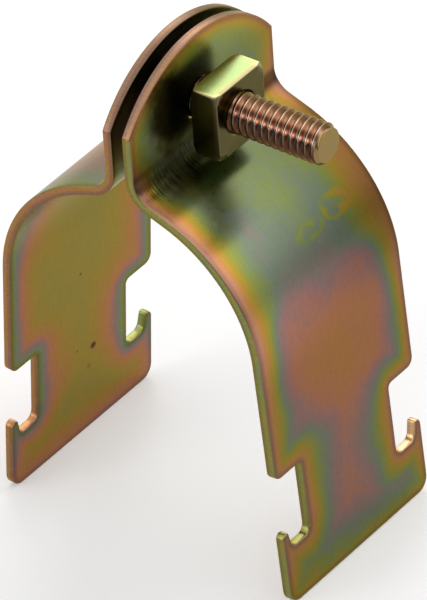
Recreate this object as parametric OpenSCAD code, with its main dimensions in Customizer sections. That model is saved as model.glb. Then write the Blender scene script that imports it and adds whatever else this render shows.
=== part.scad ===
// Two-piece pipe clamp for strut channel: two like bent straps, a machine screw and a square nut.
// X runs along the screw towards the nut, Y along the pipe and Z up.
// The origin is the middle of the pipe's seat. Sizes are in millimetres and degrees.
// The clamp stands loose, as it comes: the nut is a little way off the ear that it will press on.

/* [Pipe seat] */
// Outside diameter of the pipe
pipe_d = 42.2; // [34:0.1:60]
// How much further out than the pipe the straps are bent, on the radius
seat_play = 0.9; // [0.3:0.1:1.5]

/* [Strap] */
// Width of the strap, along the pipe
strap_w = 34; // [30:0.5:35.5]
// Thickness of the sheet
sheet_t = 1.5; // [1.2:0.1:2]
// Space between the two ears
ear_gap = 2; // [0.8:0.1:4]
// Inner radius of the bend between ear and shelf
bend_r = 3.7; // [3:0.1:4.5]
// Fall of the flat shelf between that bend and the pipe's arc
shelf_slope = 20; // [17:1:26]
// Lean of each leg, outwards and down
leg_splay = 4.2; // [0:0.1:6]

/* [Ear] */
// Height of the ear's straight side edge, from the end of the bend
ear_edge_h = 7.2; // [6:0.1:10]
// Rise of the ear's round top over its corners
ear_rise = 8.8; // [4:0.1:12]
// Height of the screw's axis above the end of the bend
screw_rise = 4.7; // [4.5:0.1:6]

/* [Strut leg] */
// Length of the flat leg below the pipe's arc
leg_len = 41.7; // [38:0.1:55]
// Height of the foot, up to the bottom of the notch
foot_h = 9.4; // [8:0.1:12]
// Height of the notch that takes the channel's lip
notch_h = 12.6; // [10:0.1:15]
// Width of the neck that passes through the channel's slot
neck_w = 21.6; // [19:0.1:22]
// Width of the hook beside the notch
hook_w = 1.5; // [1.2:0.1:2.5]
// Height of the hook above the bottom of the notch
hook_h = 3; // [2:0.1:4]
// Radius at the bottom of the notch
notch_r = 1.4; // [0.8:0.1:2]
// Radius under the shoulder, in its inner corner
neck_r = 0.8; // [0.4:0.1:1.5]
// Radius of the shoulder's outer corner
shoulder_r = 1.5; // [0.8:0.1:2.5]
// Radius of the foot's corners
foot_r = 2.2; // [1:0.1:4]

/* [Screw] */
// Thread diameter
screw_d = 6.35; // [5:0.05:6.6]
// Length under the head
screw_len = 27.4; // [24:0.1:36]
// Width of the head across its flats
head_w = 11.1; // [9.5:0.1:11.5]
// Height of the head, with its washer face
head_h = 4.2; // [3.4:0.1:5]
// Height of the round washer face under the head
washer_h = 0.4; // [0.3:0.05:0.6]
// Width of that washer face
washer_w = 10.4; // [9:0.1:11]
// Width of the driver slot
slot_w = 1.6; // [1.2:0.1:2]
// Depth of the driver slot
slot_depth = 1.8; // [1.2:0.1:2.2]
// Length of the bevel on the screw's end
end_bevel = 0.7; // [0.3:0.1:1.2]

/* [Nut] */
// Width of the square nut across its flats
nut_w = 11.1; // [10:0.1:12]
// Thickness of the nut
nut_t = 4.76; // [4:0.02:6]
// Space between the ear and the nut while the clamp is loose
nut_stand = 2.2; // [0.5:0.1:3]
// Height of the bevel at the nut's corners
nut_bevel = 0.5; // [0.2:0.1:0.8]

/* [Fits] */
// Space round the screw in the ears' holes, on the radius
hole_play = 0.4; // [0.2:0.05:0.5]
// Space round the screw in the nut, on the radius
thread_play = 0.1; // [0.05:0.01:0.15]
// Space between the screw's head and the ear
head_play = 0.1; // [0.05:0.05:0.3]

/* [Hidden] */
$fn = 96;

// Pipe arc, and the point on it where the flat shelf starts
seat_r = pipe_d / 2 + seat_play;
outer_r = seat_r + sheet_t;
arc_top = 90 - shelf_slope;

// Bend between shelf and ear: it touches the shelf's upper face and the ear's outer face
ear_x = ear_gap / 2;
bend_x = ear_x + sheet_t + bend_r;
shelf_len = ((outer_r + bend_r) * cos(arc_top) - bend_x) / sin(arc_top);
bend_z = (outer_r + bend_r) * sin(arc_top) + shelf_len * cos(arc_top);

// Ear
screw_z = bend_z + screw_rise;
ear_h = ear_edge_h + ear_rise;
ear_r = (strap_w * strap_w / 4 + ear_rise * ear_rise) / (2 * ear_rise);
ear_arc_z = bend_z + ear_h - ear_r;
hole_r = screw_d / 2 + hole_play;

// Screw and nut, along X
head_x = -(ear_x + sheet_t + head_play);
nut_x = ear_x + sheet_t + nut_stand;
head_corner_r = head_w / sqrt(3);
nut_corner_r = nut_w / sqrt(2);
// Angle of the bevels on the corners of head and nut, from their faces
bevel_angle = 30;
// How far past a face a cut reaches
past = 1;
// Longer than the clamp, for what reaches right past it
beyond = 2 * (leg_len + outer_r);
// How far a round reaches past the flat that it runs into, so that the two meet in a definite line
blend = 0.0001;

// What fills a square corner when it gets the radius r, with the corner at the origin
module corner_fill(r) {
    difference() {
        translate([-past, -past]) square(r + past);
        translate([r, r]) circle(r + blend);
    }
}

// All on the pipe's side of a face of the sheet that is out from its inner face, seen along the pipe
module pipe_side(out) {
    face_r = seat_r + out;
    circle(face_r + blend);
    rotate(leg_splay) translate([0, -leg_len]) square([face_r, leg_len]);
    rotate(arc_top) square(face_r);
    square([ear_x + out, bend_z + ear_h + past]);
    difference() {
        polygon([[bend_x, bend_z], [0, bend_z], shelf_len * [-sin(arc_top), cos(arc_top)]]);
        translate([bend_x, bend_z]) circle(bend_r + sheet_t - out + blend);
    }
}

// The sheet seen along the pipe: ear, left long for its top to be cut, bend, shelf, pipe arc and leg
module strap_profile() {
    difference() {
        pipe_side(sheet_t);
        pipe_side(0);
        rotate(leg_splay) translate([seat_r - beyond, -beyond]) square(beyond);
        translate([ear_x - beyond, -beyond]) square([beyond, 2 * beyond]);
    }
}

// What is cut from one side of a leg, with Y across the sheet and the foot's end at zero
module leg_side_cut() {
    edge = strap_w / 2;
    neck = neck_w / 2;
    shoulder = foot_h + notch_h;
    difference() {
        union() {
            translate([neck, foot_h]) square([edge - neck + past, notch_h]);
            translate([edge, shoulder]) mirror([1, 0]) corner_fill(shoulder_r);
            translate([edge, 0]) mirror([1, 0]) corner_fill(foot_r);
        }
        hook();
        translate([neck, foot_h]) corner_fill(notch_r);
        translate([neck, shoulder]) mirror([0, 1]) corner_fill(neck_r);
        translate([edge - hook_w, foot_h]) mirror([1, 0]) corner_fill(notch_r);
    }
}

// The hook beside a notch, with a round tip
module hook() {
    tip_r = hook_w / 2;
    tip_h = foot_h + hook_h - tip_r;
    translate([strap_w / 2 - hook_w, foot_h - past]) square([hook_w + past, tip_h - foot_h + past]);
    translate([strap_w / 2 - tip_r, tip_h]) circle(tip_r + blend);
}

// Carries a flat shape right through the leg
module through_leg() {
    rotate([0, -leg_splay, 0])
        translate([seat_r - past, 0, -leg_len])
            rotate([90, 0, 90])
                linear_extrude(sheet_t + 2 * past) children();
}

// Carries a flat shape right through the ear
module through_ear() {
    translate([ear_x - past, 0, 0])
        rotate([90, 0, 90])
            linear_extrude(sheet_t + 2 * past) children();
}

// What is cut from the ear's top, so that it is one arc between the side edges
module ear_top_cut() {
    difference() {
        translate([-strap_w, ear_arc_z]) square(2 * strap_w);
        translate([0, ear_arc_z]) circle(ear_r);
    }
}

module strap() {
    difference() {
        rotate([90, 0, 0]) linear_extrude(strap_w, center = true) strap_profile();
        through_ear() ear_top_cut();
        through_ear() translate([0, screw_z]) circle(hole_r);
        through_leg() leg_side_cut();
        through_leg() mirror([1, 0]) leg_side_cut();
    }
}

module nut_side_strap() {
    color("darkkhaki") strap();
}

module head_side_strap() {
    color("goldenrod") rotate([0, 0, 180]) strap();
}

// Along the screw's axis, with the start at x
module on_axis(x) {
    translate([x, 0, screw_z]) rotate([0, 90, 0]) children();
}

// Hexagon head with a flat on top, bevelled corners and a driver slot
module screw_head() {
    flat_on_top = 30;
    rim_r = head_w / 2;
    difference() {
        intersection() {
            on_axis(head_x - head_h)
                rotate(flat_on_top)
                    cylinder(h = head_h - washer_h, r = head_corner_r, $fn = 6);
            on_axis(head_x - head_h)
                cylinder(h = head_h, r1 = rim_r, r2 = rim_r + head_h / tan(bevel_angle));
        }
        translate([head_x - head_h - past, -slot_w / 2, screw_z - head_w])
            cube([slot_depth + past, slot_w, 2 * head_w]);
    }
}

// Half the outline of shank and washer face, turned about the screw's axis, with the head's end at zero
module shank() {
    under_head = 2 * washer_h;
    washer_r = washer_w / 2;
    shank_r = screw_d / 2;
    end = under_head + screw_len;
    rotate_extrude()
        polygon([
            [0, 0], [washer_r, 0], [washer_r, under_head], [shank_r, under_head],
            [shank_r, end - end_bevel], [shank_r - end_bevel, end], [0, end]
        ]);
}

module clamp_screw() {
    color("peru") {
        screw_head();
        on_axis(head_x - 2 * washer_h) shank();
    }
}

// Two cones, base to base, that bevel the nut's corners on both faces
module nut_cones() {
    half = nut_t / 2;
    face_r = nut_corner_r - nut_bevel / tan(bevel_angle);
    middle_r = face_r + half / tan(bevel_angle);
    cylinder(h = half, r1 = face_r, r2 = middle_r);
    translate([0, 0, half]) cylinder(h = half, r1 = middle_r, r2 = face_r);
}

module square_nut() {
    color("yellowgreen") difference() {
        intersection() {
            translate([nut_x, -nut_w / 2, screw_z - nut_w / 2]) cube([nut_t, nut_w, nut_w]);
            on_axis(nut_x) nut_cones();
        }
        on_axis(nut_x - past) cylinder(h = nut_t + 2 * past, r = screw_d / 2 + thread_play);
    }
}

nut_side_strap();
head_side_strap();
clamp_screw();
square_nut();
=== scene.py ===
"""Strut pipe clamp: two folded straps, a slotted hexagon screw and a square nut, all in iridescent zinc.

Lengths in the builders are millimetres; put() turns them into metres in the CAD frame.
"""

import math

import bpy
import numpy as np
from mathutils import Matrix, Vector
from mathutils.geometry import delaunay_2d_cdt


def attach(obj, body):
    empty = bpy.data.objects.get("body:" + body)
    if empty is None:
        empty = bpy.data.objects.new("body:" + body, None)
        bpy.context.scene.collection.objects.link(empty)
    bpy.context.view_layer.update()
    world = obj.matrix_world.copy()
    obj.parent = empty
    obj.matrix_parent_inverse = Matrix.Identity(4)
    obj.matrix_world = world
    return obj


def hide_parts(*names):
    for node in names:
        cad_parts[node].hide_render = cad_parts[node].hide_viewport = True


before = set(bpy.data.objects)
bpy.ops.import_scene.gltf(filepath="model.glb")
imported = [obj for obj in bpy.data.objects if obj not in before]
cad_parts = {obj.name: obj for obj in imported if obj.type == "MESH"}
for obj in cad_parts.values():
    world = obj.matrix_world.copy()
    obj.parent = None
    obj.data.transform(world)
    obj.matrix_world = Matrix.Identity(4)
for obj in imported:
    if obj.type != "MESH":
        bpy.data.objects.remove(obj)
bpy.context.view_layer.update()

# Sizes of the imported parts, in millimetres and radians
SHEET = 1.5
HALF = SHEET / 2
SEAT = 22.0
BEND = 3.7
FALL = math.radians(20)
LEAN = math.radians(4.2)
TOP = math.pi / 2 - FALL
EAR_X = 1.0
BEND_X = EAR_X + SHEET + BEND
WIDE = 17.0
LEG = 41.7
FOOT = 9.4
NOTCH = 12.6
NECK = 10.8
HOOK_H = 3.0
EAR_EDGE = 7.2
EAR_RISE = 8.8
SCREW_RISE = 4.7
HOLE = 3.575
PITCH = 1.27
MAJOR = 3.175
THREAD_DEPTH = 0.66
SCREW_END = 24.8
END_BEVEL = 0.7
HEAD_TOP = -6.8
HEAD_BASE = -3.0
HEAD_BEAR = -2.6
SLOT = 0.8
SLOT_DEPTH = 1.8
FLAT = 5.55
NUT_X = 4.7
NUT_THICK = 4.76
BEVEL = math.radians(30)

# What follows from them. UP lengths run along the sheet's middle, from where leg and pipe arc meet.
SHELF = ((SEAT + SHEET + BEND) * math.cos(TOP) - BEND_X) / math.sin(TOP)
BEND_Z = (SEAT + SHEET + BEND) * math.sin(TOP) + SHELF * math.cos(TOP)
SCREW_Z = BEND_Z + SCREW_RISE
MID = SEAT + HALF
MID_BEND = BEND + HALF
UP_ARC = MID * (TOP - LEAN)
UP_SHELF = UP_ARC + SHELF
UP_BEND = UP_SHELF + MID_BEND * TOP
EAR_R = (WIDE * WIDE + EAR_RISE * EAR_RISE) / (2 * EAR_RISE)
EAR_MID = UP_BEND + EAR_EDGE + EAR_RISE - EAR_R
HOLE_UP = UP_BEND + SCREW_RISE

# How the cut edges are rounded, outside and inside, and how finely the surfaces are divided
ROUND_OUT, ROUND_IN = 0.26, 0.16
LOOP_STEP = 0.34
GRID_STEP = 0.36
CLEAR, CLEAR_HOLE = 0.22, 0.2
TURN_ROWS = 18
SHANK_SIDES = 112
# Points this close fall on one place
GRAIN = 1e-4


# Mesh helpers
def put(name, verts, blocks, attributes):
    """Makes a mesh object from points in millimetres and blocks of faces, each an array with a face in every
    row, and gives its points the float attributes."""
    mesh = bpy.data.meshes.new(name)
    mesh.from_pydata((verts * 0.001).tolist(), [], [face for block in blocks for face in block.tolist()])
    for key, values in attributes.items():
        data = mesh.attributes.new(key, "FLOAT", "POINT").data
        data.foreach_set("value", np.asarray(values, dtype=np.float32))
    mesh.polygons.foreach_set("use_smooth", np.full(len(mesh.polygons), True))
    mesh.validate()
    mesh.update()
    obj = bpy.data.objects.new(name, mesh)
    bpy.context.scene.collection.objects.link(obj)
    return obj


def grid_faces(rows, columns, start=0, close_rows=False, close_columns=False, flip=False):
    """Quads of a grid of rows by columns of points, joined end to end where asked."""
    r = np.arange(rows if close_rows else rows - 1)
    c = np.arange(columns if close_columns else columns - 1)
    rr, cc = np.meshgrid(r, c, indexing="ij")
    r2, c2 = (rr + 1) % rows, (cc + 1) % columns
    quads = np.stack([rr * columns + cc, r2 * columns + cc, r2 * columns + c2, rr * columns + c2], -1)
    quads = quads.reshape(-1, 4)
    return (quads[:, ::-1] if flip else quads) + start


def weld(points):
    """For points that may fall on one place: the first point at each place, and the place of every point."""
    key = np.round(points / GRAIN).astype(np.int64)
    _, first, back = np.unique(key, axis=0, return_index=True, return_inverse=True)
    return first, back.reshape(-1)


def triangulate(loops, between=np.empty((0, 2))):
    """Triangles over closed flat loops and the points between them, each triangle run counterclockwise."""
    ends = np.cumsum([0] + [len(loop) for loop in loops])
    lines = [np.arange(a, b) for a, b in zip(ends, ends[1:])]
    edges = np.concatenate([np.column_stack([line, np.roll(line, -1)]) for line in lines])
    points = np.concatenate([*loops, between])
    cdt = delaunay_2d_cdt(list(map(Vector, points)), edges.tolist(), [], 0, 1e-7)
    verts, tris = points[[ids[0] for ids in cdt[3]]], np.array(cdt[2])
    a, b, c = verts[tris[:, 0]], verts[tris[:, 1]], verts[tris[:, 2]]
    area = (b[:, 0] - a[:, 0]) * (c[:, 1] - a[:, 1]) - (c[:, 0] - a[:, 0]) * (b[:, 1] - a[:, 1])
    tris[area < 0] = tris[area < 0][:, ::-1]
    return verts, tris


def smooth_noise(p, scale, seed, octaves=3):
    """Smooth noise from -1 to 1 as a sum of sine waves whose directions and phases come from the seed."""
    gen = np.random.default_rng(seed)
    out = np.zeros(len(p))
    total = 0.0
    for o in range(octaves):
        for _ in range(5):
            direction = gen.normal(size=p.shape[1])
            direction *= (2 ** o) / scale / np.linalg.norm(direction)
            out += np.sin(2 * np.pi * p @ direction + gen.uniform(0, 2 * np.pi)) / (5 ** 0.5) / (1.6 ** o)
        total += 1 / (1.6 ** o)
    return out / total


# Straps
def place(up, across, out):
    """Place on the folded sheet: up along its middle surface from where leg and pipe arc meet, across its
    width, and out from the middle surface. Leg, arc, shelf, bend and ear follow one another, each tangent to
    the last: straight lines, and circles about the pipe's axis and the bend's centre."""
    up, across, out = np.broadcast_arrays(up, across, out)
    arc = LEAN + up / MID
    along = up - UP_ARC
    bend = math.pi + TOP - (up - UP_SHELF) / MID_BEND
    where = [up < 0, up < UP_ARC, up < UP_SHELF, up < UP_BEND]
    x = np.select(where, [
        (MID + out) * math.cos(LEAN) - up * math.sin(LEAN),
        (MID + out) * np.cos(arc),
        (MID + out) * math.cos(TOP) - along * math.sin(TOP),
        BEND_X + (MID_BEND - out) * np.cos(bend)], EAR_X + HALF + out)
    z = np.select(where, [
        (MID + out) * math.sin(LEAN) + up * math.cos(LEAN),
        (MID + out) * np.sin(arc),
        (MID + out) * math.sin(TOP) + along * math.cos(TOP),
        BEND_Z + (MID_BEND - out) * np.sin(bend)], BEND_Z + up - UP_BEND)
    return np.stack([x, across, z], -1)


def corner_arcs():
    """The right half of the flat outline as arcs, from the foot up to the ear: each corner of a polygon
    becomes the arc that touches both of its edges. An arc is its centre, radius, angles and +1 outside or -1
    inside."""
    low, floor, shoulder = -LEG, -LEG + FOOT, -LEG + FOOT + NOTCH
    tip = floor + HOOK_H
    # Each corner is its place across and up, its radius and the points on its arc
    corners = [
        (0.0, low, 0, 0), (WIDE, low, 2.2, 9), (WIDE, tip + 0.02, 0.94, 8),
        (WIDE - 1.32, tip - 0.1, 0.36, 6), (WIDE - 1.95, floor, 1.15, 8), (NECK, floor, 1.3, 8),
        (NECK, shoulder, 0.8, 7), (WIDE, shoulder, 1.5, 9), (WIDE, UP_BEND, 0, 0)]
    arcs = []
    for (ax, ay, _, _), (bx, by, r, count), (cx, cy, _, _) in zip(corners, corners[1:], corners[2:]):
        u = np.array([bx - ax, by - ay]) / math.hypot(bx - ax, by - ay)
        w = np.array([cx - bx, cy - by]) / math.hypot(cx - bx, cy - by)
        turn = math.atan2(u[0] * w[1] - u[1] * w[0], u @ w)
        kind = 1 if turn > 0 else -1
        reach = r * math.tan(abs(turn) / 2)
        left = np.array([-u[1], u[0]]) * kind
        centre = np.array([bx, by]) - u * reach + left * r
        first = math.atan2(-left[1], -left[0])
        arcs.append((centre, r, first + np.linspace(0, turn, count), kind))
    return arcs


ARCS = corner_arcs()


def sheet_loop(inset):
    """Outline of the flat sheet, drawn in by inset: straight lines between the arcs, whose radii shrink
    outside and grow inside, and one arc over the ear. Every inset gives the same number of points, so loops
    join point to point."""
    points = []
    last_full, last = np.array([0.0, -LEG]), np.array([0.0, -LEG + inset])
    for centre, r, angles, kind in ARCS:
        unit = np.stack([np.cos(angles), np.sin(angles)], -1)
        full, arc = centre + r * unit, centre + (r - kind * inset) * unit
        count = max(1, int(round(np.linalg.norm(full[0] - last_full) / LOOP_STEP)))
        points += [last + np.linspace(0, 1, count, endpoint=False)[:, None] * (arc[0] - last), arc[:-1]]
        last_full, last = full[-1], arc[-1]
    count = int(round((UP_BEND + EAR_EDGE - last_full[1]) / LOOP_STEP))
    half = math.asin((WIDE - inset) / (EAR_R - inset))
    over = np.linspace(half, 0, 56)
    top = np.stack([(EAR_R - inset) * np.sin(over), EAR_MID + (EAR_R - inset) * np.cos(over)], -1)
    points += [last + np.linspace(0, 1, count, endpoint=False)[:, None] * (top[0] - last), top]
    right = np.concatenate(points)
    return np.concatenate([right, right[-2:0:-1] * [-1, 1]])


def hole_loop(inset, count=72):
    """The screw's hole: a circle, wider where the sheet is drawn in, run clockwise."""
    a = -np.linspace(0, 2 * np.pi, count, endpoint=False)
    return np.stack([(HOLE + inset) * np.cos(a), HOLE_UP + (HOLE + inset) * np.sin(a)], -1)


def inside(points, loop):
    """Whether each point is inside a closed loop: it is if a line to the right of it crosses the loop an odd
    number of times."""
    odd = np.zeros(len(points), dtype=bool)
    nxt = np.roll(loop, -1, axis=0)
    for (x0, y0), (x1, y1) in zip(loop, nxt):
        if y0 == y1:
            continue
        hit = (points[:, 1] > min(y0, y1)) & (points[:, 1] <= max(y0, y1))
        odd[hit] ^= points[hit, 0] < x0 + (points[hit, 1] - y0) / (y1 - y0) * (x1 - x0)
    return odd


def nearest(points, loop):
    """Distance from each point to the nearest of the loop's closely set points."""
    fine = np.concatenate([loop + t * (np.roll(loop, -1, axis=0) - loop) for t in (0, 0.25, 0.5, 0.75)])
    out = np.empty(len(points))
    for i in range(0, len(points), 4000):
        part = points[i:i + 4000]
        out[i:i + 4000] = np.sqrt(((part[:, None] - fine[None]) ** 2).sum(-1).min(1))
    return out


def from_hole(points):
    """Distance of flat points from the middle of the screw's hole."""
    return np.hypot(points[:, 0], points[:, 1] - HOLE_UP)


def flat_pattern():
    """The sheet laid flat: a square grid of points kept clear of the outline and the hole, joined to both by
    triangles; and the rims, where the loops follow a profile that rounds both edges of the cut. Each step of
    the rim is its inset, its height over the middle of the sheet and how far it is turned into the cut."""
    waves = [(math.sin(a), math.cos(a)) for a in np.linspace(0, math.pi / 2, 5)]
    rim = [(ROUND_OUT * (1 - s), HALF - ROUND_OUT * (1 - c), s ** 2) for s, c in waves]
    rim += [(0.0, HALF - ROUND_OUT - t * (SHEET - ROUND_OUT - ROUND_IN), 1.0) for t in (0.33, 0.66)]
    rim += [(ROUND_IN * (1 - c), -HALF + ROUND_IN * (1 - s), c ** 2) for s, c in waves]
    across = np.arange(-WIDE, WIDE + GRID_STEP, GRID_STEP)
    up = np.arange(-LEG, UP_BEND + EAR_EDGE + EAR_RISE, GRID_STEP)
    whole = np.stack(np.meshgrid(across, up, indexing="ij"), -1).reshape(-1, 2)
    sides = {}
    for side, inset in ((1, rim[0][0]), (-1, rim[-1][0])):
        outer, hole = sheet_loop(inset), hole_loop(inset)
        grid = whole[inside(whole, outer)]
        grid = grid[(nearest(grid, outer) > CLEAR) & (from_hole(grid) > HOLE + inset + CLEAR_HOLE)]
        verts, tris = triangulate([outer, hole], grid)
        middle = verts[tris].mean(1)
        sides[side] = verts, tris[inside(middle, outer) & (from_hole(middle) > HOLE + inset)]
    return sides, rim


def strap(name, turned):
    """A strap: the flat pattern carried onto the fold, on both faces, and the rims between them. The turned
    one is the same, half round about Z, with a film of its own."""
    sides, rim = flat_pattern()
    rows, blocks, start = [], [], 0
    for side, (verts, tris) in sides.items():
        none = np.zeros(len(verts))
        rows.append(np.column_stack([verts, none + side * HALF, none, none]))
        blocks.append((tris if side > 0 else tris[:, ::-1]) + start)
        start += len(verts)
    for make in (sheet_loop, hole_loop):
        loops = [make(inset) for inset, _, _ in rim]
        run = np.concatenate([[0], np.cumsum(np.linalg.norm(np.diff(loops[5], axis=0), axis=1))])
        for loop, (_, height, into) in zip(loops, rim):
            rows.append(np.column_stack([loop, np.full(len(loop), height), np.full(len(loop), into), run]))
        blocks.append(grid_faces(len(rim), len(run), start, close_columns=True))
        start += len(run) * len(rim)
    across, up, depth, cut, run = np.concatenate(rows).T
    edge = nearest(np.column_stack([across, up]), sheet_loop(0.0))
    points = place(up, across, depth)
    first, back = weld(points)
    values = {"edge": edge, "up": up, "across": across, "depth": depth, "run": run}
    attributes = {key: value[first] for key, value in values.items()}
    attributes["cut"] = np.zeros(len(first))
    np.maximum.at(attributes["cut"], back, cut)
    attributes["phase"] = film(attributes, turned)
    points = points[first] * [-1, -1, 1] if turned else points[first]
    return put(name, points, [back[block] for block in blocks], attributes)


def film(a, turned):
    """Phase of the interference film, in turns of its colours. It starts at an edge value and grows with the
    distance from the outline towards a core value that changes along the sheet; the two faces differ."""
    up, across = a["up"], a["across"]
    flat = np.stack([across, up], -1)
    wave = smooth_noise(flat, 24.0, 3 + turned) * 0.035 + smooth_noise(flat, 6.0, 11 + turned) * 0.014
    warp = 1 + 0.16 * smooth_noise(flat, 18.0, 21 + turned, 2)
    right = np.clip(across / 9, 0, 1)
    side = right * np.interp(up, [-45, -25, -5, 8, 26, 34], [0.10, 0.15, 0.40, -0.42, -0.42, -0.15])
    edge = a["edge"] * warp * (1 + side)

    def grown(start, core, reach, power):
        return start + (core - start) * (1 - np.exp(-(edge / reach) ** power))

    if turned:
        core = np.interp(up, [-41.7, -10, 10, 26, 40], [0.95, 0.90, 0.74, 0.66, 0.60])
        outer = grown(0.40, core, 3.4, 1.3)
    else:
        core = np.interp(
            up + 1.5 * smooth_noise(flat, 13.0, 31, 2),
            [-41.7, -36, -30, -24, -18, -8, -3, 0, 3, 5, 7.5, 11, 20, 30, 36, 44, 52],
            [0.84, 0.86, 0.79, 0.77, 0.86, 0.91, 0.86, 0.80, 0.73, 0.66, 0.54, 0.48, 0.455, 0.45, 0.46, 0.43,
             0.40])
        reach = np.interp(up, [-10, 5, 14, 30, 32.5, 34.5, 37, 44], [5.5, 4.8, 3.3, 3.1, 4.4, 4.4, 1.9, 1.4])
        power = np.interp(up, [-10, 6, 34, 37], [1.25, 2.0, 2.0, 1.25])
        low = np.interp(up, [-41.7, -39.5, -36, 30, 38], [0.22, 0.20, 0.0, 0.0, 0.06])
        low += right * np.interp(up, [0, 8, 26, 32], [0, 0.12, 0.12, 0])
        outer = grown(low, core, reach, power)
    start = np.interp(up, [-41.7, -37, -32, -28, 52], [0.72, 0.62, 0.46, 0.34, 0.33])
    rise = np.interp(up, [-41, -36, -30, -20, 18, 26, 34], [0.62, 0.74, 0.88, 0.94, 0.94, 0.84, 0.76])
    inner = grown(start, start + rise, np.interp(up, [-41, -34, -28], [3.6, 4.0, 5.0]), 1.6)
    share = np.clip(a["depth"] / HALF * 0.5 + 0.5, 0, 1)
    return np.clip(inner + share * (outer - inner) + wave, 0.01, 1.38)


# Screw and nut
def thread_radius(x, angle):
    """Radius of a right-hand thread: from a narrow flat crest the flank falls steeply and then ever less,
    as one minus a power of what is left of the way, into a round root."""
    t = ((x - PITCH * angle / (2 * np.pi)) / PITCH) % 1.0
    way = np.clip((np.abs(t - 0.5) * 2 - 0.10) / 0.90, 0, 1)
    return MAJOR - THREAD_DEPTH * (1 - (1 - way) ** 1.7)


def ring_points(x, radius, angle):
    """Points at x, radius and angle, the angle taken about +X from +Y towards +Z."""
    x, radius, angle = np.broadcast_arrays(x, radius, angle)
    return np.stack([x, radius * np.cos(angle), SCREW_Z + radius * np.sin(angle)], -1)


def shank():
    """The threaded shank: radius as a function of place along the axis and angle, narrowed to a bevel at its
    end, where ever smaller rings and a fan of triangles close it. Next to the head the thread runs out."""
    bevel_slope, run_out, run_out_slope = 0.86, 0.9, 0.45
    x = np.append(np.arange(HEAD_BEAR, SCREW_END - 1e-6, PITCH / TURN_ROWS), SCREW_END)
    angle = np.linspace(0, 2 * np.pi, SHANK_SIDES, endpoint=False)
    xx, aa = np.meshgrid(x, angle, indexing="ij")
    bevel = MAJOR - np.clip(xx - (SCREW_END - END_BEVEL), 0, None) * bevel_slope
    radius = np.minimum(thread_radius(xx, aa), bevel)
    least = MAJOR - (xx - HEAD_BEAR) * run_out_slope
    radius = np.where(xx < HEAD_BEAR + run_out, np.maximum(radius, least), radius)
    radius = np.minimum(radius, MAJOR)
    shares = np.array([0.985, 0.93, 0.7, 0.45, 0.2])[:, None]
    rows = np.concatenate([ring_points(xx, radius, aa), ring_points(SCREW_END, shares * radius[-1], angle)])
    verts = np.concatenate([rows.reshape(-1, 3), [[SCREW_END, 0, SCREW_Z]]])
    centre = len(verts) - 1
    last = np.arange(centre - SHANK_SIDES, centre)
    fan = np.column_stack([last, np.roll(last, -1), np.full(SHANK_SIDES, centre)])
    return verts, [grid_faces(len(rows), SHANK_SIDES, close_columns=True, flip=True), fan]


def hex_head():
    """The head: a sheet of points over the hexagon, a function of place along the driver slot and of place
    across it, that drops into the slot and round the bevelled corners; then rings that follow its edge down
    the flats, and as circles over the underside and the washer face. The last ring is given back too."""
    edge_r, cone_r, cone_slope, lowest, washer_r = 0.14, 5.35, 0.56, 2.6, 5.2
    fine = np.array([1, 0.992, 0.975, 0.95])
    z = np.concatenate([-fine, np.linspace(-0.92, 0.92, 47), fine[::-1]]) * FLAT
    out = np.concatenate([[0, 0.008, 0.02, 0.04, 0.07], np.linspace(0.11, 0.97, 22), [0.985, 1.0]])
    # The slot's wall, as how far it stands outside the slot's half width, and how deep
    wall = np.array([[0.02, 0], [0.012, 0.05], [0.004, 0.14], [0.0, 0.6],
                     [-0.004, 1.2], [-0.01, 1.68], [-0.05, 1.78], [-0.12, SLOT_DEPTH]])
    floor = np.linspace(-SLOT - wall[-1, 0], SLOT + wall[-1, 0], 5)[1:-1]
    half_width = ((2 * FLAT - np.abs(z)) / math.sqrt(3))[:, None]
    left = -(half_width + (SLOT + wall[0, 0] - half_width) * out)
    slot = np.concatenate([-(SLOT + wall[1:, 0]), floor, (SLOT + wall[::-1, 0])[:-1]])
    yy = np.concatenate([left, np.tile(slot, (len(z), 1)), -left[:, ::-1]], 1)
    zz = np.broadcast_to(z[:, None], yy.shape)
    level = np.zeros(len(out))
    drop = np.concatenate([level, wall[1:, 1], np.full(len(floor), SLOT_DEPTH), wall[::-1, 1][:-1], level])
    rim = FLAT - np.maximum(np.abs(zz), np.abs(yy) * math.cos(BEVEL) + np.abs(zz) * math.sin(BEVEL))
    soft = np.clip(edge_r - rim, 0, edge_r)
    round_off = edge_r - np.sqrt(np.clip(edge_r ** 2 - soft ** 2, 0, None))
    cone = np.clip(np.hypot(yy, zz) - cone_r, 0, None) * cone_slope
    xx = HEAD_TOP + np.maximum(drop, np.minimum(cone + round_off, lowest))
    patch = np.stack([xx, yy, SCREW_Z + zz], -1)
    rows, cols = patch.shape[:2]
    verts = patch.reshape(-1, 3)
    number = np.arange(rows * cols).reshape(rows, cols)
    loop = np.concatenate([number[0], number[1:, -1], number[-1, -2::-1], number[-2:0:-1, 0]])
    top_ring = verts[loop]
    y, height = top_ring[:, 1], top_ring[:, 2] - SCREW_Z
    angle, radius = np.arctan2(height, y), np.hypot(height, y)
    levels = [top_ring + (HEAD_BASE - 0.1 - top_ring[:, :1]) * [t, 0, 0] for t in (0.0, 0.5, 1.0)]
    under = [(HEAD_BASE - 0.03, radius - 0.03), (HEAD_BASE, radius - 0.1), (HEAD_BASE, washer_r + 0.02),
             (HEAD_BASE + 0.04, washer_r), (HEAD_BEAR - 0.06, washer_r),
             (HEAD_BEAR - 0.015, washer_r - 0.015), (HEAD_BEAR, washer_r - 0.06), (HEAD_BEAR, washer_r - 1.0)]
    levels = np.stack(levels + [ring_points(x, wide, angle) for x, wide in under])
    sides = grid_faces(len(levels), len(loop), len(verts), close_columns=True, flip=True)
    return np.concatenate([verts, levels.reshape(-1, 3)]), [grid_faces(rows, cols), sides], levels[-1]


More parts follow.
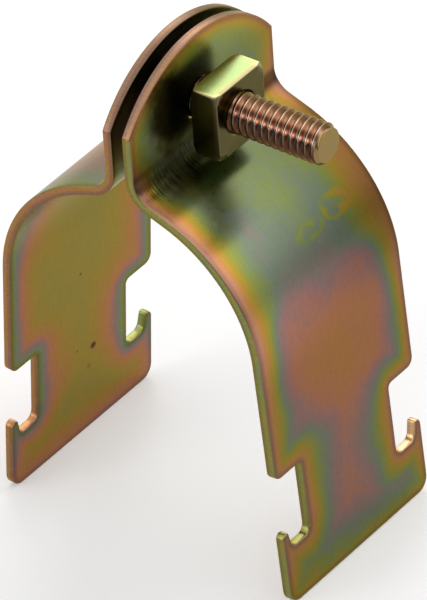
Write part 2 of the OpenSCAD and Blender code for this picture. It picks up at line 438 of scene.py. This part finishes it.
def screw(name):
    """The screw: shank and head, and between them the flat under the head, as triangles from the head's last
    ring to the shank's first. Its points carry the depth below the thread's crest, from 0 to 1, how the
    film's colour shifts round the thread, and painted light round the thread: painted glints and painted
    shade, each a bell curve of the angle about the axis, and painted shade on the thread between the ear and
    the nut."""
    rod, rod_faces = shank()
    head, head_faces, head_ring = hex_head()
    flat, tris = triangulate([head_ring[:, 1:], rod[:SHANK_SIDES, 1:]])
    middle = flat[tris].mean(1)
    tris = tris[np.hypot(middle[:, 0], middle[:, 1] - SCREW_Z) > MAJOR]
    points = np.concatenate([rod, head, np.column_stack([np.full(len(flat), HEAD_BEAR), flat])])
    blocks = rod_faces + [block + len(rod) for block in head_faces] + [tris + len(rod) + len(head)]
    first, back = weld(points)
    verts = points[first]
    radius = np.hypot(verts[:, 1], verts[:, 2] - SCREW_Z)
    plain = (verts[:, 0] > SCREW_END - 0.5) | (verts[:, 0] < HEAD_BEAR + 0.1)
    deep = np.where(plain, 0.13, np.clip((MAJOR - radius) / THREAD_DEPTH, 0, 1))
    turn = np.degrees(np.arctan2(verts[:, 2] - SCREW_Z, verts[:, 1]))

    def peak(at, wide):
        return np.exp(-(((turn - at + 180) % 360 - 180) / wide) ** 2)

    # Painted light: painted glints at 110 and 147 degrees about the axis and a broad lift at -15, painted
    # shade at 195, and painted shade on the thread between the ear and the nut
    glint_shade = 0.60 + 1.20 * peak(110, 12) + 1.90 * peak(147, 9) + 0.45 * peak(-15, 45) - 0.30 * peak(195, 28)
    glint_shade = glint_shade * np.interp(verts[:, 0], [4.2, 5.6], [0.25, 1.0])
    warm = 0.12 * peak(108, 20) + 0.28 * peak(60, 26) - 0.12 * peak(165, 26)
    glint_shade, warm = np.where(plain, 1.0, glint_shade), np.where(plain, 0.0, warm)
    return put(name, verts, [back[block] for block in blocks],
               {"deep": deep, "plain": plain, "glint_shade": glint_shade, "warm": warm})


def nut(name):
    """The square nut: a closed ring of profiles. At each angle the profile runs over the front face, the
    bevelled corner, the side and the back face, and returns through the bore along the thread. Its points
    carry how worn they are, their way round and along the nut, and where painted shade darkens and browns the
    film: on both end faces and on the -Y side."""
    half = NUT_THICK / 2
    face_r = FLAT * math.sqrt(2) - 0.5 / math.tan(BEVEL)
    corner_r, edge_r, bore = 0.28, 0.13, 3.55
    side = np.linspace(-FLAT + corner_r, FLAT - corner_r, 33)
    arc = np.linspace(0, math.pi / 2, 7)[1:-1]
    square = [np.concatenate([np.stack([np.full(len(side), FLAT), side], -1),
                              FLAT - corner_r + corner_r * np.stack([np.cos(arc), np.sin(arc)], -1)])]
    for _ in range(3):
        square.append(square[-1][:, ::-1] * [-1, 1])
    square = np.concatenate(square)
    angle, radius = np.arctan2(square[:, 1], square[:, 0]), np.hypot(square[:, 0], square[:, 1])
    bevel = np.clip(radius - face_r, 0, None) * math.tan(BEVEL)
    flat_r = np.minimum(radius - edge_r - 0.06, face_r)
    # One end of the nut, as depth below its face and radius: the face, the bevel and the rounded edge
    face = [(0.0, bore + (flat_r - bore) * f) for f in (0.0, 0.12, 0.35, 0.6, 0.8, 1.0)]
    face.append((bevel * 0.55, flat_r + (radius - edge_r - flat_r) * 0.55))
    face += [(bevel + edge_r * (1 - math.cos(a)), radius - edge_r + edge_r * math.sin(a))
             for a in np.linspace(0, math.pi / 2, 5)]
    outer = [(half - d, r) for d, r in face] + [(half * t, radius) for t in (0.5, 0.0, -0.5)]
    outer += [(d - half, r) for d, r in face[::-1]]
    x = np.linspace(NUT_X + 0.02, NUT_X + NUT_THICK - 0.02, 74)[:, None]
    countersink = bore - 0.02 - np.minimum(x - NUT_X, NUT_X + NUT_THICK - x) * 1.1
    thread = ring_points(x, np.maximum(thread_radius(x, angle) + 0.11, countersink), angle)
    grid = np.concatenate([[ring_points(NUT_X + half + dx, r, angle) for dx, r in outer], thread])
    flat = grid.reshape(-1, 3)
    r = np.hypot(flat[:, 1], flat[:, 2] - SCREW_Z)
    below = half - np.abs(flat[:, 0] - NUT_X - half)
    worn = np.clip((r - face_r) / 0.5, 0, 1) * np.clip(1 - (below - 0.15) / 0.6, 0, 1)
    corner = np.clip(1 - (np.abs(np.abs(square[:, 0]) - np.abs(square[:, 1])) - 0.15) / 0.5, 0, 1)
    wear = [0.0] * 5 + [0.15, 0.5, 0.9, 1.0, 1.0, 1.0, 0.9]
    by_row = np.concatenate([wear, [0.0] * 3, wear[::-1], [0.0] * len(x)])[:, None]
    is_outside = (np.arange(len(grid)) < len(outer))[:, None]
    worn = np.maximum(worn, 0.8 * np.maximum(by_row, 0.7 * corner * is_outside).reshape(-1))
    turn = np.tile(np.arange(len(angle)) * 8 * FLAT / len(angle), len(grid))
    # Painted shade: both end faces and the -Y side are painted darker and browner
    on_face = np.clip(1 - below / 0.3, 0, 1) * np.clip((face_r + 0.2 - r) / 0.3, 0, 1)
    on_side = np.clip((-FLAT * 0.97 - flat[:, 1]) / 0.1, 0, 1)
    faces = grid_faces(len(grid), len(angle), close_rows=True, close_columns=True)
    return put(name, flat, [faces], {
        "worn": worn, "turn": turn, "side": flat[:, 0], "face_shade": np.maximum(on_face, 0.9 * on_side)})


# Materials
# The film's colours as linear values, as its phase grows: one full turn and part of the next
FILM = [
    (0.00, (0.300, 0.146, 0.108)), (0.12, (0.325, 0.148, 0.046)), (0.25, (0.255, 0.175, 0.020)),
    (0.40, (0.150, 0.180, 0.048)), (0.49, (0.122, 0.152, 0.108)), (0.56, (0.165, 0.132, 0.114)),
    (0.64, (0.215, 0.118, 0.112)), (0.76, (0.305, 0.120, 0.070)), (0.92, (0.310, 0.134, 0.040)),
    (1.06, (0.275, 0.150, 0.028)), (1.20, (0.235, 0.168, 0.022)), (1.40, (0.170, 0.165, 0.040))]
FILM_END = FILM[-1][0]
SHADOW_BROWN = (0.19, 0.14, 0.05, 1)
CUT_PINK = (0.25, 0.19, 0.145, 1)
GLINT_PINK = (0.36, 0.25, 0.20, 1)
NUT_GREEN = (0.34, 0.50, 0.24, 1)
NUT_BROWN = (0.27, 0.19, 0.05, 1)
NUT_PALE = (0.50, 0.40, 0.30, 1)
TINT_AT_GRAZING = (0.98, 0.90, 0.72, 1)


class Nodes:
    """Short way to build a node tree."""

    def __init__(self, tree):
        self.tree = tree

    def new(self, kind, **settings):
        node = self.tree.nodes.new(kind)
        for key, value in settings.items():
            setattr(node, key, value)
        return node

    def set(self, node, name, thing):
        """Links an input to a socket, or gives it a value."""
        if hasattr(thing, "is_output"):
            self.tree.links.new(thing, node.inputs[name])
        else:
            node.inputs[name].default_value = thing

    def made(self, kind, *things, **settings):
        """The first output of a new node whose first inputs are these things."""
        node = self.new(kind, **settings)
        for i, thing in enumerate(things):
            self.set(node, i, thing)
        return node.outputs[0]

    def maths(self, op, a, b=0.0, c=0.0, clamp=False):
        return self.made("ShaderNodeMath", a, b, c, operation=op, use_clamp=clamp)

    def add(self, *things):
        total = things[0]
        for thing in things[1:]:
            total = self.maths("ADD", total, thing)
        return total

    def times(self, *things):
        total = things[0]
        for thing in things[1:]:
            total = self.maths("MULTIPLY", total, thing)
        return total

    def gain(self, value, size, base=1.0):
        """The base plus that size times the value."""
        return self.maths("MULTIPLY_ADD", value, size, base)

    def away(self, value, size):
        """A noise value, from 0 to 1, as a swing of that size about zero."""
        return self.gain(value, size, -size / 2)

    def step(self, value, low, high, at_low=0.0, at_high=1.0):
        """Goes smoothly from one value at low to another at high, where low may be above high."""
        node = self.new("ShaderNodeMapRange", interpolation_type="SMOOTHSTEP")
        (start, at_start), (end, at_end) = sorted([(low, at_low), (high, at_high)])
        for key, thing in (("Value", value), ("From Min", start), ("From Max", end),
                           ("To Min", at_start), ("To Max", at_end)):
            self.set(node, key, thing)
        return node.outputs[0]

    def distance(self, across, up, a=1.0, b=1.0):
        """Length of a flat vector, each part first divided by its own size."""
        across, up = self.times(across, 1 / a), self.times(up, 1 / b)
        return self.maths("SQRT", self.add(self.times(across, across), self.times(up, up)))

    def attribute(self, name):
        return self.new("ShaderNodeAttribute", attribute_type="GEOMETRY", attribute_name=name).outputs["Fac"]

    def place(self):
        return self.new("ShaderNodeTexCoord").outputs["Object"]

    def vector(self, x, y, z):
        return self.made("ShaderNodeCombineXYZ", x, y, z)

    def noise(self, vector, scale, detail=3.0, rough=0.55):
        node = self.new("ShaderNodeTexNoise")
        for key, thing in (("Vector", vector), ("Scale", scale), ("Detail", detail), ("Roughness", rough)):
            self.set(node, key, thing)
        return node.outputs["Fac"]

    def mix(self, factor, a, b, blend="MIX"):
        node = self.new("ShaderNodeMix", data_type="RGBA", blend_type=blend)
        for i, thing in ((0, factor), (6, a), (7, b)):
            self.set(node, i, thing)
        return node.outputs[2]

    def grey(self, value):
        return self.made("ShaderNodeCombineColor", value, value, value)

    def shaded(self, colour, shade):
        """A colour times a grey shade."""
        return self.mix(1.0, colour, self.grey(shade), "MULTIPLY")

    def film(self, phase):
        """Colour of the film at a phase from 0 to the end of the list of colours."""
        node = self.new("ShaderNodeValToRGB")
        while len(node.color_ramp.elements) < len(FILM):
            node.color_ramp.elements.new(0.5)
        for element, (at, colour) in zip(node.color_ramp.elements, FILM):
            element.position = at / FILM_END
            element.color = (*colour, 1)
        self.set(node, 0, self.times(phase, 1 / FILM_END))
        return node.outputs[0]

    def metal(self, colour, rough, height, depth):
        """A metal of that colour and roughness, with a bump of that depth in metres."""
        bump = self.new("ShaderNodeBump")
        for key, thing in (("Strength", 1.0), ("Distance", depth), ("Height", height)):
            self.set(bump, key, thing)
        bsdf = self.new("ShaderNodeBsdfPrincipled")
        for key, thing in (("Base Color", colour), ("Roughness", rough), ("Metallic", 1.0),
                           ("Specular Tint", TINT_AT_GRAZING), ("Normal", bump.outputs[0])):
            self.set(bsdf, key, thing)
        return bsdf.outputs[0]


def add_material(obj, name, surface):
    """Gives an object a new material, whose shader the surface function makes from its nodes."""
    material = bpy.data.materials.new(name)
    material.use_nodes = True
    material.node_tree.nodes.clear()
    n = Nodes(material.node_tree)
    n.set(n.new("ShaderNodeOutputMaterial"), "Surface", surface(n))
    obj.data.materials.append(material)


def ring(n, across, up, a, b, wobble):
    """A stain's outline: 1 along an uneven ellipse about its middle, falling to 0 beside it."""
    off = n.maths("ABSOLUTE", n.add(n.distance(across, up, a, b), n.away(wobble, 1.5), -1.0))
    return n.times(n.step(off, 0.52, 0.05), n.step(wobble, 0.28, 0.66))


def strap_zinc(cut_phase, cut_gain, leg, hook, stains=(), specks=(), nut_shadows=(), arc_shading_tilt=0.0):
    """Zinc under an interference film. The phase attribute picks the colour; stains shift it, specks darken
    it, and the nut's painted shadows, painted shade and a painted reflection of the nut, darken it and turn
    it brown. Draw marks run up the bend, partly real and partly painted shade, and the cut edges have a
    colour and a grain of their own. The marks start with their place on the sheet, across and up. The arc's
    shading tilt
    is painted shade: how much darker the arc is painted for each millimetre across. Leg is how much brighter
    the leg is, and hook the side of the hook that stands out, its phase, and its painted highlight: how much
    brighter it is and how pale."""
    sign, hook_phase, hook_highlight, hook_highlight_pale = hook

    def surface(n):
        up, across, depth = n.attribute("up"), n.attribute("across"), n.attribute("depth")
        cut, run = n.attribute("cut"), n.attribute("run")
        outer = n.step(depth, -0.1, 0.1)
        blotch = n.noise(n.place(), 230.0, 2.0)
        mottle = n.noise(n.place(), 900.0, 3.0)
        speckle = n.noise(n.place(), 4200.0, 2.0, 0.7)
        lengthways = n.noise(n.vector(n.times(across, 2.6), n.times(up, 0.35), depth), 1.0, 4.0, 0.7)
        wobble = n.noise(n.vector(across, up, 3.0), 0.55, 2.5)

        # The film, under painted light: a painted highlight over the ear's top, painted shade near the
        # outline, and painted shade that tilts across the arc
        phase = n.add(n.attribute("phase"), n.away(blotch, 0.07), n.away(mottle, 0.07), n.away(speckle, 0.05))
        for y, u, a, b, shift in stains:
            stain = ring(n, n.add(across, -y), n.add(up, -u), a, b, wobble)
            phase = n.add(phase, n.times(stain, outer, shift))
        top = n.times(n.step(up, UP_BEND + 7, UP_BEND + 13), outer)
        arc = n.times(n.step(up, -6.0, 6.0), n.step(up, UP_SHELF + 1, UP_SHELF - 5), outer)
        # Painted light: painted shade near the outline (a painted reflection on the rolled edge), a painted
        # highlight over the ear's top, and painted shade that tilts across the arc
        shade = n.times(n.add(1.0, n.away(speckle, 0.26), n.away(lengthways, 0.20), n.away(mottle, 0.12)),
                        n.gain(n.step(n.attribute("edge"), 0.25, 1.3), 0.36, 0.66), n.gain(top, 0.35),
                        n.gain(n.times(arc, across), -arc_shading_tilt), n.gain(n.step(up, 3.0, -8.0), leg))
        for y, u, size, dark in specks:
            far = n.distance(n.add(across, -y), n.add(up, -u))
            spot = n.times(n.step(n.add(far, n.away(wobble, size)), size, size * 0.35), n.gain(outer, -1.0))
            shade = n.times(shade, n.gain(spot, -dark))
            phase = n.add(phase, n.times(spot, -0.30))
        colour = n.film(phase)
        # Painted shadow and painted reflection of the nut: dark brown patches beside the nut on the ear and
        # in the bend below it
        for y, u, a, b, dark in nut_shadows:
            far = n.distance(n.add(across, -y), n.add(up, -u), a, b)
            patch = n.times(n.step(n.add(far, n.away(wobble, 0.9)), 1.25, 0.55), outer)
            shade = n.times(shade, n.gain(patch, -dark))
            colour = n.mix(n.times(patch, 0.7 * dark), colour, SHADOW_BROWN)

        # The bend: comb-like draw marks, partly real marks and partly painted shade, and painted shade on the
        # concave inside of the bend
        marks = n.noise(n.vector(n.times(across, 3.0), n.times(up, 0.09), 7.0), 1.0, 3.0, 0.75)
        width = n.add(n.maths("ABSOLUTE", n.add(across, 1.5)), n.away(wobble, 4.0))
        bend = n.times(n.step(up, UP_BEND - 7.5, UP_BEND - 4.5), n.step(up, UP_BEND - 0.4, UP_BEND - 0.8),
                       outer, n.step(width, 15.0, 12.5))
        teeth = n.times(bend, n.step(marks, 0.44, 0.60))
        hollow_shade = n.times(n.step(up, UP_BEND - 3.4, UP_BEND - 1.7), n.step(up, UP_BEND + 1.0, UP_BEND - 0.6),
                         outer)
        shade = n.times(shade, n.add(1.0, n.times(teeth, -0.62), n.times(bend, -0.16)), n.gain(hollow_shade, -0.66))

        # The cut edges: a burnished band and a torn one, with streaks from face to face. The ear's top
        # differs in
        #         # colour, the hooks carry a painted highlight, brighter and paler, and the hole's rim is
        #         painted dark, painted shade in the hole.
        streak = n.noise(n.vector(n.times(run, 3.4), n.times(depth, 0.55), 1.0), 1.0, 4.0, 0.75)
        band = n.step(n.add(depth, n.away(streak, 0.5)), -0.25, 0.05)
        hooks = n.times(n.step(up, -26.0, -28.0), n.step(n.times(across, sign), 9.0, 10.0))
        over = n.step(up, UP_BEND + 6.6, UP_BEND + 7.6)
        hole = n.distance(across, n.add(up, -HOLE_UP))
        edge_phase = n.add(cut_phase, n.away(blotch, 0.30), n.away(streak, 0.20), n.times(band, 0.08),
                           n.times(hooks, hook_phase - cut_phase), n.times(over, -cut_phase))
        # Painted shade darkens the hole's rim; a painted highlight brightens the hooks
        edge_shade = n.times(n.add(cut_gain, n.away(streak, 0.9), n.away(speckle, 0.4)),
                             n.gain(band, 0.3, 0.8), n.gain(n.step(hole, 4.69, 4.24), -0.75),
                             n.add(1.0, n.times(over, -0.36), n.times(hooks, hook_highlight)))
        pale = n.add(0.10, n.times(over, 0.30), n.times(hooks, hook_highlight_pale))
        edges = n.shaded(n.mix(pale, n.film(edge_phase), CUT_PINK), edge_shade)

        colour = n.mix(cut, n.shaded(colour, shade), edges)
        rough = n.add(0.29, n.away(mottle, 0.10), n.times(cut, 0.05))
        height = n.add(n.times(speckle, 0.9), n.times(lengthways, 0.35), n.times(teeth, -1.6),
                       n.times(cut, streak, 3.0))
        return n.metal(colour, rough, height, 0.0000055)

    return surface


def screw_zinc(n):
    """Zinc on the screw: the film's phase runs over the thread, from grey-green crests to copper and purple
    flanks. Painted glints brighten the flanks and pale them to pink, painted shade darkens parts of them and
    the thread's roots, and the crests are lighter."""
    deep, glint_shade = n.attribute("deep"), n.attribute("glint_shade")
    blotch = n.noise(n.place(), 330.0, 3.0)
    speckle = n.noise(n.place(), 5200.0, 2.0, 0.7)
    crest = n.step(deep, 0.10, 0.0)
    phase = n.add(n.gain(deep, -0.14, 0.90), n.times(crest, -0.42), n.attribute("warm"),
                  n.away(blotch, 0.20), n.away(speckle, 0.12))
    phase = n.mix(n.attribute("plain"), n.grey(phase), n.grey(n.add(0.24, n.away(blotch, 0.2))))
    # Painted glints and painted shade on the flanks, and painted shade in the thread's roots; the crests are
    # lighter, and where glints are painted the flanks pale towards pink
    flank = n.times(glint_shade, n.add(0.98, n.away(speckle, 0.35), n.times(n.step(deep, 0.45, 1.0), -0.55)))
    shade = n.add(n.times(flank, 0.92), n.times(crest, 0.5))
    pale = n.maths("MULTIPLY_ADD", glint_shade, 0.34, -0.04, clamp=True)
    colour = n.shaded(n.mix(pale, n.film(phase), GLINT_PINK), shade)
    return n.metal(colour, n.add(0.20, n.away(blotch, 0.08)), speckle, 0.000004)


def nut_zinc(n):
    """Zinc on the nut: yellow-green to pale green, changing with place, darker and browner under painted
    shade on both end faces and the -Y side, and pink where worn."""
    worn, face_shade = n.attribute("worn"), n.attribute("face_shade")
    blotch = n.noise(n.place(), 210.0, 3.0)
    speckle = n.noise(n.place(), 4600.0, 2.0, 0.7)
    grain = n.vector(n.times(n.attribute("turn"), 1.6), n.times(n.attribute("side"), 7.0), 0.0)
    lines = n.noise(grain, 1.0, 3.0, 0.7)
    # Painted shade on both end faces and the -Y side shifts the film browner and darkens it
    phase = n.add(0.38, n.away(blotch, 0.26), n.away(speckle, 0.06),
                  n.times(worn, -0.30), n.times(face_shade, -0.13))
    shade = n.times(n.add(0.80, n.away(speckle, 0.25), n.away(lines, 0.25)), n.gain(face_shade, -0.66))
    tint = n.mix(0.42, n.film(phase), NUT_GREEN)
    tint = n.mix(n.times(face_shade, 0.5), tint, NUT_BROWN)
    tint = n.mix(n.times(worn, 0.36), tint, NUT_PALE)
    return n.metal(n.shaded(tint, shade), n.add(0.23, n.away(blotch, 0.10)), n.add(speckle, lines), 0.0000025)


# Build
near_strap = strap("strap_at_nut", 0)
far_strap = strap("strap_at_head", 1)
the_screw = screw("screw")
the_nut = nut("nut")

add_material(near_strap, "zinc_nut_side", strap_zinc(
    # The hook's 0.9 and 0.4 are its painted highlight; the tilt paints the arc's shade, lighter towards
    # -across and darker towards +across
    0.30, 1.1, -0.11, (1, 0.10, 0.9, 0.4), arc_shading_tilt=0.030,
    stains=((8.3, 12.9, 2.6, 1.6, -0.24), (1.6, 12.1, 2.8, 1.1, -0.12)),
    # The nut's painted shadow and reflection: beside the nut on the ear, and in the bend below it
    nut_shadows=((-7.8, HOLE_UP + 2.0, 4.2, 7.4, 0.74), (-8.6, UP_BEND - 4.2, 5.0, 3.9, 0.46))))
add_material(far_strap, "zinc_head_side", strap_zinc(
    # The hook's 0.25 is its painted highlight
    0.05, 0.92, 0.06, (-1, 0.30, 0.25, 0.0),
    specks=((-2.6, -26.8, 0.80, 0.85), (0.3, -11.4, 0.45, 0.7), (1.25, -25.5, 0.3, 0.5),
            (-1.5, -30.0, 0.8, 0.25))))
add_material(the_screw, "zinc_screw", screw_zinc)
add_material(the_nut, "zinc_nut", nut_zinc)

for obj, body, node, slot in (
        (near_strap, "nut_strap", "nut_side_strap", "strap_zinc"),
        (far_strap, "head_strap", "head_side_strap", "strap_zinc"),
        (the_screw, "screw", "clamp_screw", "screw_zinc"),
        (the_nut, "nut", "square_nut", "nut_zinc")):
    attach(obj, body)
    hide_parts(node)


# Floor, light, camera
FLOOR_Z = -0.0400
FLOOR_REACH = 3.0
FLOOR_GREY = 0.86
FLOOR_LIFT = 0.24


def floor_pale(n):
    """A pale floor that keeps the clamp's shadow. What the camera and the metal see of it glows a little."""
    path = n.new("ShaderNodeLightPath")
    direct = n.maths("MAXIMUM", path.outputs["Is Camera Ray"], path.outputs["Is Glossy Ray"])
    direct = n.maths("MAXIMUM", direct, path.outputs["Is Transmission Ray"])
    diffuse = n.made("ShaderNodeBsdfDiffuse", (FLOOR_GREY, FLOOR_GREY, FLOOR_GREY, 1))
    lifted = n.new("ShaderNodeEmission")
    n.set(lifted, "Strength", n.times(direct, FLOOR_LIFT))
    return n.made("ShaderNodeAddShader", diffuse, lifted.outputs[0])


corners = [(x * FLOOR_REACH, y * FLOOR_REACH, FLOOR_Z) for x, y in ((-1, -1), (1, -1), (1, 1), (-1, 1))]
mesh = bpy.data.meshes.new("floor")
mesh.from_pydata(corners, [], [(0, 1, 2, 3)])
floor = bpy.data.objects.new("floor", mesh)
bpy.context.scene.collection.objects.link(floor)
add_material(floor, "floor_pale", floor_pale)

# The studio is white to the camera. In the metal it is brighter above, and dimmer on the camera's own side.
# To everything else it is an even light.
AWAY_FROM_CAMERA = (-0.634, 0.773, 1.1)
EVEN_LIGHT = 0.62
world = bpy.data.worlds.new("studio")
bpy.context.scene.world = world
world.use_nodes = True
n = Nodes(world.node_tree)
background = n.tree.nodes["Background"]
path = n.new("ShaderNodeLightPath")
way = n.new("ShaderNodeTexCoord").outputs["Generated"]
toward = n.new("ShaderNodeVectorMath", operation="DOT_PRODUCT")
n.set(toward, 0, way)
n.set(toward, 1, AWAY_FROM_CAMERA)
parted = n.new("ShaderNodeSeparateXYZ")
n.set(parted, 0, way)
sky = n.times(n.step(toward.outputs["Value"], -0.8, 0.5, 0.22, 1.0),
              n.step(parted.outputs["Z"], 0.0, 0.7, 0.9, 1.9))
seen = n.new("ShaderNodeMix", data_type="FLOAT")
for i, thing in ((0, path.outputs["Is Glossy Ray"]), (2, EVEN_LIGHT), (3, sky)):
    n.set(seen, i, thing)
n.set(background, "Color", (1, 1, 1, 1))
n.set(background, "Strength", n.maths("MAXIMUM", path.outputs["Is Camera Ray"], seen.outputs[0]))


def lamp(name, at, size, radiance):
    """A soft square lamp facing the clamp, with the strength that gives its face that radiance."""
    light = bpy.data.lights.new(name, "AREA")
    light.shape = "SQUARE"
    light.size = size
    light.energy = radiance * math.pi * size * size
    obj = bpy.data.objects.new(name, light)
    bpy.context.scene.collection.objects.link(obj)
    obj.location = at
    obj.rotation_euler = (-Vector(at)).to_track_quat("-Z", "Y").to_euler()
    return obj


# The back lamp isn't seen in the metal
lamp("softbox_back", (0.42, 0.85, 0.72), 1.1, 1.3).visible_glossy = False
lamp("softbox_left", (-0.62, 0.75, 0.74), 0.55, 2.7)
lamp("softbox_front", (-0.52, -0.80, 0.28), 0.42, 3.0)

# The camera's place, aim and roll, which were fitted to the photo together with its lens
CAMERA_AT = Vector((0.5958671, -0.7291267, 0.6883066))
AIM = Vector((-0.50841613, 0.62408002, -0.59332720)).normalized()
ROLL = -0.07004993
camera_data = bpy.data.cameras.new("camera")
camera_data.sensor_width = 36.0
camera_data.lens = 481.36
camera_data.clip_end = 20.0
camera = bpy.data.objects.new("camera", camera_data)
bpy.context.scene.collection.objects.link(camera)
bpy.context.scene.camera = camera
level = AIM.cross(Vector((0, 0, 1))).normalized()
upright = level.cross(AIM)
right = math.cos(ROLL) * level + math.sin(ROLL) * upright
top_side = math.cos(ROLL) * upright - math.sin(ROLL) * level
camera.matrix_world = Matrix.Translation(CAMERA_AT) @ Matrix((right, top_side, -AIM)).transposed().to_4x4()

bpy.context.scene.view_settings.view_transform = "Standard"
